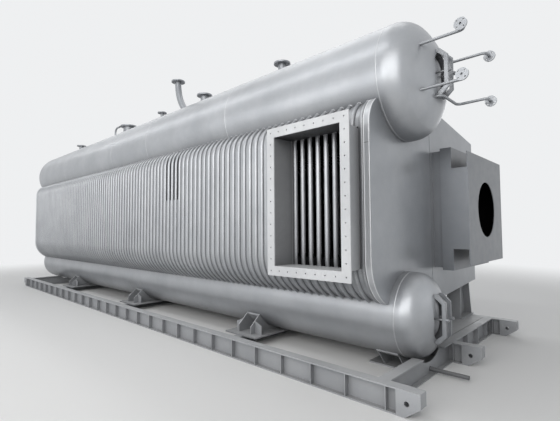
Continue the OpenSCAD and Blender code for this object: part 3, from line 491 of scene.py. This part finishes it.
tube_beads("upper_tube_welds_gas_side", UPPER_Z, UPPER_R, 180 + TOP_SLOPE)
tube_beads("lower_tube_welds_gas_side", LOWER_Z, LOWER_R, 180 - BOTTOM_SLOPE)
tube_beads("upper_tube_welds_furnace_side", UPPER_Z, UPPER_R, -ROOF_SLOPE)
tube_beads("lower_tube_welds_furnace_side", LOWER_Z, LOWER_R, FLOOR_SLOPE)


def nozzle_bead(name, y, radius):
    """A fillet at the foot of a nozzle on the upper drum, following the drum's curve."""
    verts = []
    around, steps = 48, 4
    for i in range(around):
        t = 2 * math.pi * i / around
        for k in range(steps + 1):
            s = math.pi * 0.5 * k / steps
            r = radius - SUNK + NOZZLE_FILLET[0] * math.cos(s)
            x = r * math.cos(t)
            h = math.sqrt(UPPER_R ** 2 - x * x) - SUNK + NOZZLE_FILLET[1] * math.sin(s)
            verts.append((DRUM_X + x, y + r * math.sin(t), UPPER_Z + h))
    bead(name, verts, strip_faces(around, steps), WELD)


for name, y, radius in (
    ("steam_outlet_weld", 6.360, 0.1095),
    ("front_safety_nozzle_weld", 1.930, 0.054),
    ("rear_safety_nozzle_weld", 9.040, 0.054),
    ("auxiliary_nozzle_weld", 3.660, 0.0665),
    ("feed_nozzle_weld", 5.000, 0.030),
    ("vent_pipe_weld", 7.020, 0.019),
):
    nozzle_bead(name, y, radius)


def off_drums(x, z):
    """Whether a point of the end plate's outline is clear of both drums."""
    clear = 0.006
    upper = math.hypot(x - DRUM_X, z - UPPER_Z) > UPPER_R + clear
    return upper and math.hypot(x - DRUM_X, z - LOWER_Z) > LOWER_R + clear


def gas_side_outline():
    """Outline of the end plate down the gas side, from drum to drum, and its outward directions."""
    points, outs = [], []
    steps = 30
    for (cx, cz, r), first, last in ((TOP_BEND, 90, 180), (BOTTOM_BEND, 180, 270)):
        for k in range(steps + 1):
            a = math.radians(first + (last - first) * k / steps)
            x = cx + (r + CASING_GAP) * math.cos(a)
            z = cz + (r + CASING_GAP) * math.sin(a)
            if off_drums(x, z):
                points.append((x, z))
                outs.append(Vector((math.cos(a), 0, math.sin(a))))
    return points, outs


def seam(name, y):
    """A rounded bead on the casing's edge or on its band, down the gas side."""
    verts = []
    steps = 4
    points, outs = gas_side_outline()
    for (x, z), out in zip(points, outs):
        for k in range(steps + 1):
            t = math.pi * k / steps
            lift = out * ((SEAM_HEIGHT + SUNK) * math.sin(t) - SUNK)
            verts.append(Vector((x, y, z)) + lift + ALONG * (SEAM_HALF_WIDTH * math.cos(t)))
    faces = strip_faces(len(points), steps, closed=False)
    # Painted highlight: these beads take the near-white edge weld paint
    bead(name, verts, faces, EDGE_WELD_HIGHLIGHT, sharp_angle=60.0)


seam("front_band_weld", CASING_Y + CASING_T)
seam("front_band_edge_weld", CASING_Y + BAND_REACH)
seam("rear_band_edge_weld", REAR_CASING_Y - BAND_REACH)
seam("rear_band_weld", REAR_CASING_Y - CASING_T)

# ---------------------------------------------------------------- stage

BACKDROP = (0.86, 0.87, 0.88, 1.0)
FLOOR_COLOUR = (0.76, 0.76, 0.755, 1.0)
FLOOR_ROUGHNESS = 0.75
FLOOR_HALF = 60
# The floor turns into the backdrop between these distances from the boiler's middle
FADE_CENTRE = (0.0, 5.0, 0.0)
FADE_FROM, FADE_TO = 7.0, 13.0
WORLD_COLOUR = (0.93, 0.96, 1.0, 1.0)
WORLD_STRENGTH = 0.25


def seen_directly(g):
    """1 where the camera sees the backdrop, by way of metal or glass too, 0 for its light."""
    path = g.node("ShaderNodeLightPath").outputs
    seen = g.math("MAXIMUM", path["Is Camera Ray"], path["Is Glossy Ray"])
    return g.math("MAXIMUM", seen, path["Is Transmission Ray"])


def mixed(g, factor, first, second, out):
    """Joins two shaders by a factor to an output node."""
    mixer = g.node("ShaderNodeMixShader")
    for value, socket in zip((factor, first.outputs[0], second.outputs[0]), mixer.inputs):
        g.put(value, socket)
    g.put(mixer.outputs[0], out.inputs[0])


floor_mat, g = new_material("floor")
near = g.fill(
    g.node("ShaderNodeBsdfPrincipled"), Base_Color=FLOOR_COLOUR, Roughness=FLOOR_ROUGHNESS
)
far = g.fill(g.node("ShaderNodeEmission"), Color=BACKDROP, Strength=1.0)
distance = g.node("ShaderNodeVectorMath", operation="DISTANCE")
g.put(g.node("ShaderNodeNewGeometry").outputs["Position"], distance.inputs[0])
g.put(FADE_CENTRE, distance.inputs[1])
fade = g.ramp(
    distance.outputs["Value"], FADE_FROM, FADE_TO, interpolation_type="SMOOTHSTEP"
)
turned = g.math("MULTIPLY", fade, seen_directly(g))
mixed(g, turned, near, far, g.node("ShaderNodeOutputMaterial"))
corners = [(-1, -1), (1, -1), (1, 1), (-1, 1)]
floor = mesh_object(
    "floor", [(x * FLOOR_HALF, y * FLOOR_HALF, 0) for x, y in corners], [(0, 1, 2, 3)]
)
floor.data.materials.append(floor_mat)

world = bpy.data.worlds.new("studio")
bpy.context.scene.world = world
world.use_nodes = True
world.node_tree.nodes.clear()
g = Graph(world.node_tree)
light = g.fill(g.node("ShaderNodeBackground"), Color=WORLD_COLOUR, Strength=WORLD_STRENGTH)
seen = g.fill(g.node("ShaderNodeBackground"), Color=BACKDROP, Strength=1.0)
mixed(g, seen_directly(g), light, seen, g.node("ShaderNodeOutputWorld"))

# Name, place, target, size along and across, watts, colour
WHITE, WARM, COOL = (1.0, 1.0, 1.0), (1.0, 0.99, 0.97), (0.95, 0.97, 1.0)
LAMPS = (
    ("key", (-9.2, -1.6, 5.3), (-0.8, 3.8, 1.6), (12.0, 6.5), 700.0, WARM),
    ("left_skylight", (-4.2, 10.5, 8.5), (-4.1, 10.5, 0.0), (21.0, 0.8), 250.0, WHITE),
    ("right_skylight", (1.9, 10.5, 8.5), (2.0, 10.5, 0.0), (21.0, 0.8), 150.0, WHITE),
    ("roof_light", (0.5, 5.5, 12.0), (0.0, 5.5, 2.0), (6.0, 13.0), 130.0, WHITE),
    ("front_fill", (4.5, -8.0, 3.5), (0.5, 0.0, 1.5), (6.0, 4.0), 25.0, COOL),
    ("side_fill", (-12.0, 7.0, 4.0), (-1.2, 6.0, 1.5), (12.0, 4.0), 290.0, WHITE),
    ("furnace_side_fill", (11.0, 6.0, 6.0), (1.6, 5.0, 1.5), (12.0, 5.0), 250.0, WHITE),
)
for name, place, target, size, energy, colour in LAMPS:
    lamp = bpy.data.lights.new(name, "AREA")
    lamp.shape = "RECTANGLE"
    lamp.size, lamp.size_y = size
    lamp.energy = energy
    lamp.color = colour
    obj = link(bpy.data.objects.new(name, lamp))
    obj.location = place
    aim = Vector(target) - Vector(place)
    obj.rotation_euler = aim.to_track_quat("-Z", "Y").to_euler()

# ---------------------------------------------------------------- camera

# Solved from the photo's straight edges: place, then yaw from +Y towards +X, tilt and roll
CAMERA_PLACE = (-4.162, -1.453, 1.374)
YAW, TILT, ROLL = map(math.radians, (46.739, 2.80, -0.396))
FOCAL_PIXELS, PHOTO_WIDTH, SENSOR = 383.25, 560.0, 36.0

forward = Vector(
    (math.sin(YAW) * math.cos(TILT), math.cos(YAW) * math.cos(TILT), math.sin(TILT))
)
level = Vector((math.cos(YAW), -math.sin(YAW), 0))
upright = level.cross(forward)
right = level * math.cos(ROLL) + upright * math.sin(ROLL)
up = upright * math.cos(ROLL) - level * math.sin(ROLL)
lens = bpy.data.cameras.new("camera")
lens.sensor_width = SENSOR
lens.lens = SENSOR * FOCAL_PIXELS / PHOTO_WIDTH
lens.clip_end = 200.0
camera = link(bpy.data.objects.new("camera", lens))
facing = Matrix((right, up, -forward)).transposed().to_4x4()
camera.matrix_world = Matrix.Translation(CAMERA_PLACE) @ facing
bpy.context.scene.camera = camera
bpy.context.scene.view_settings.view_transform = "Standard"
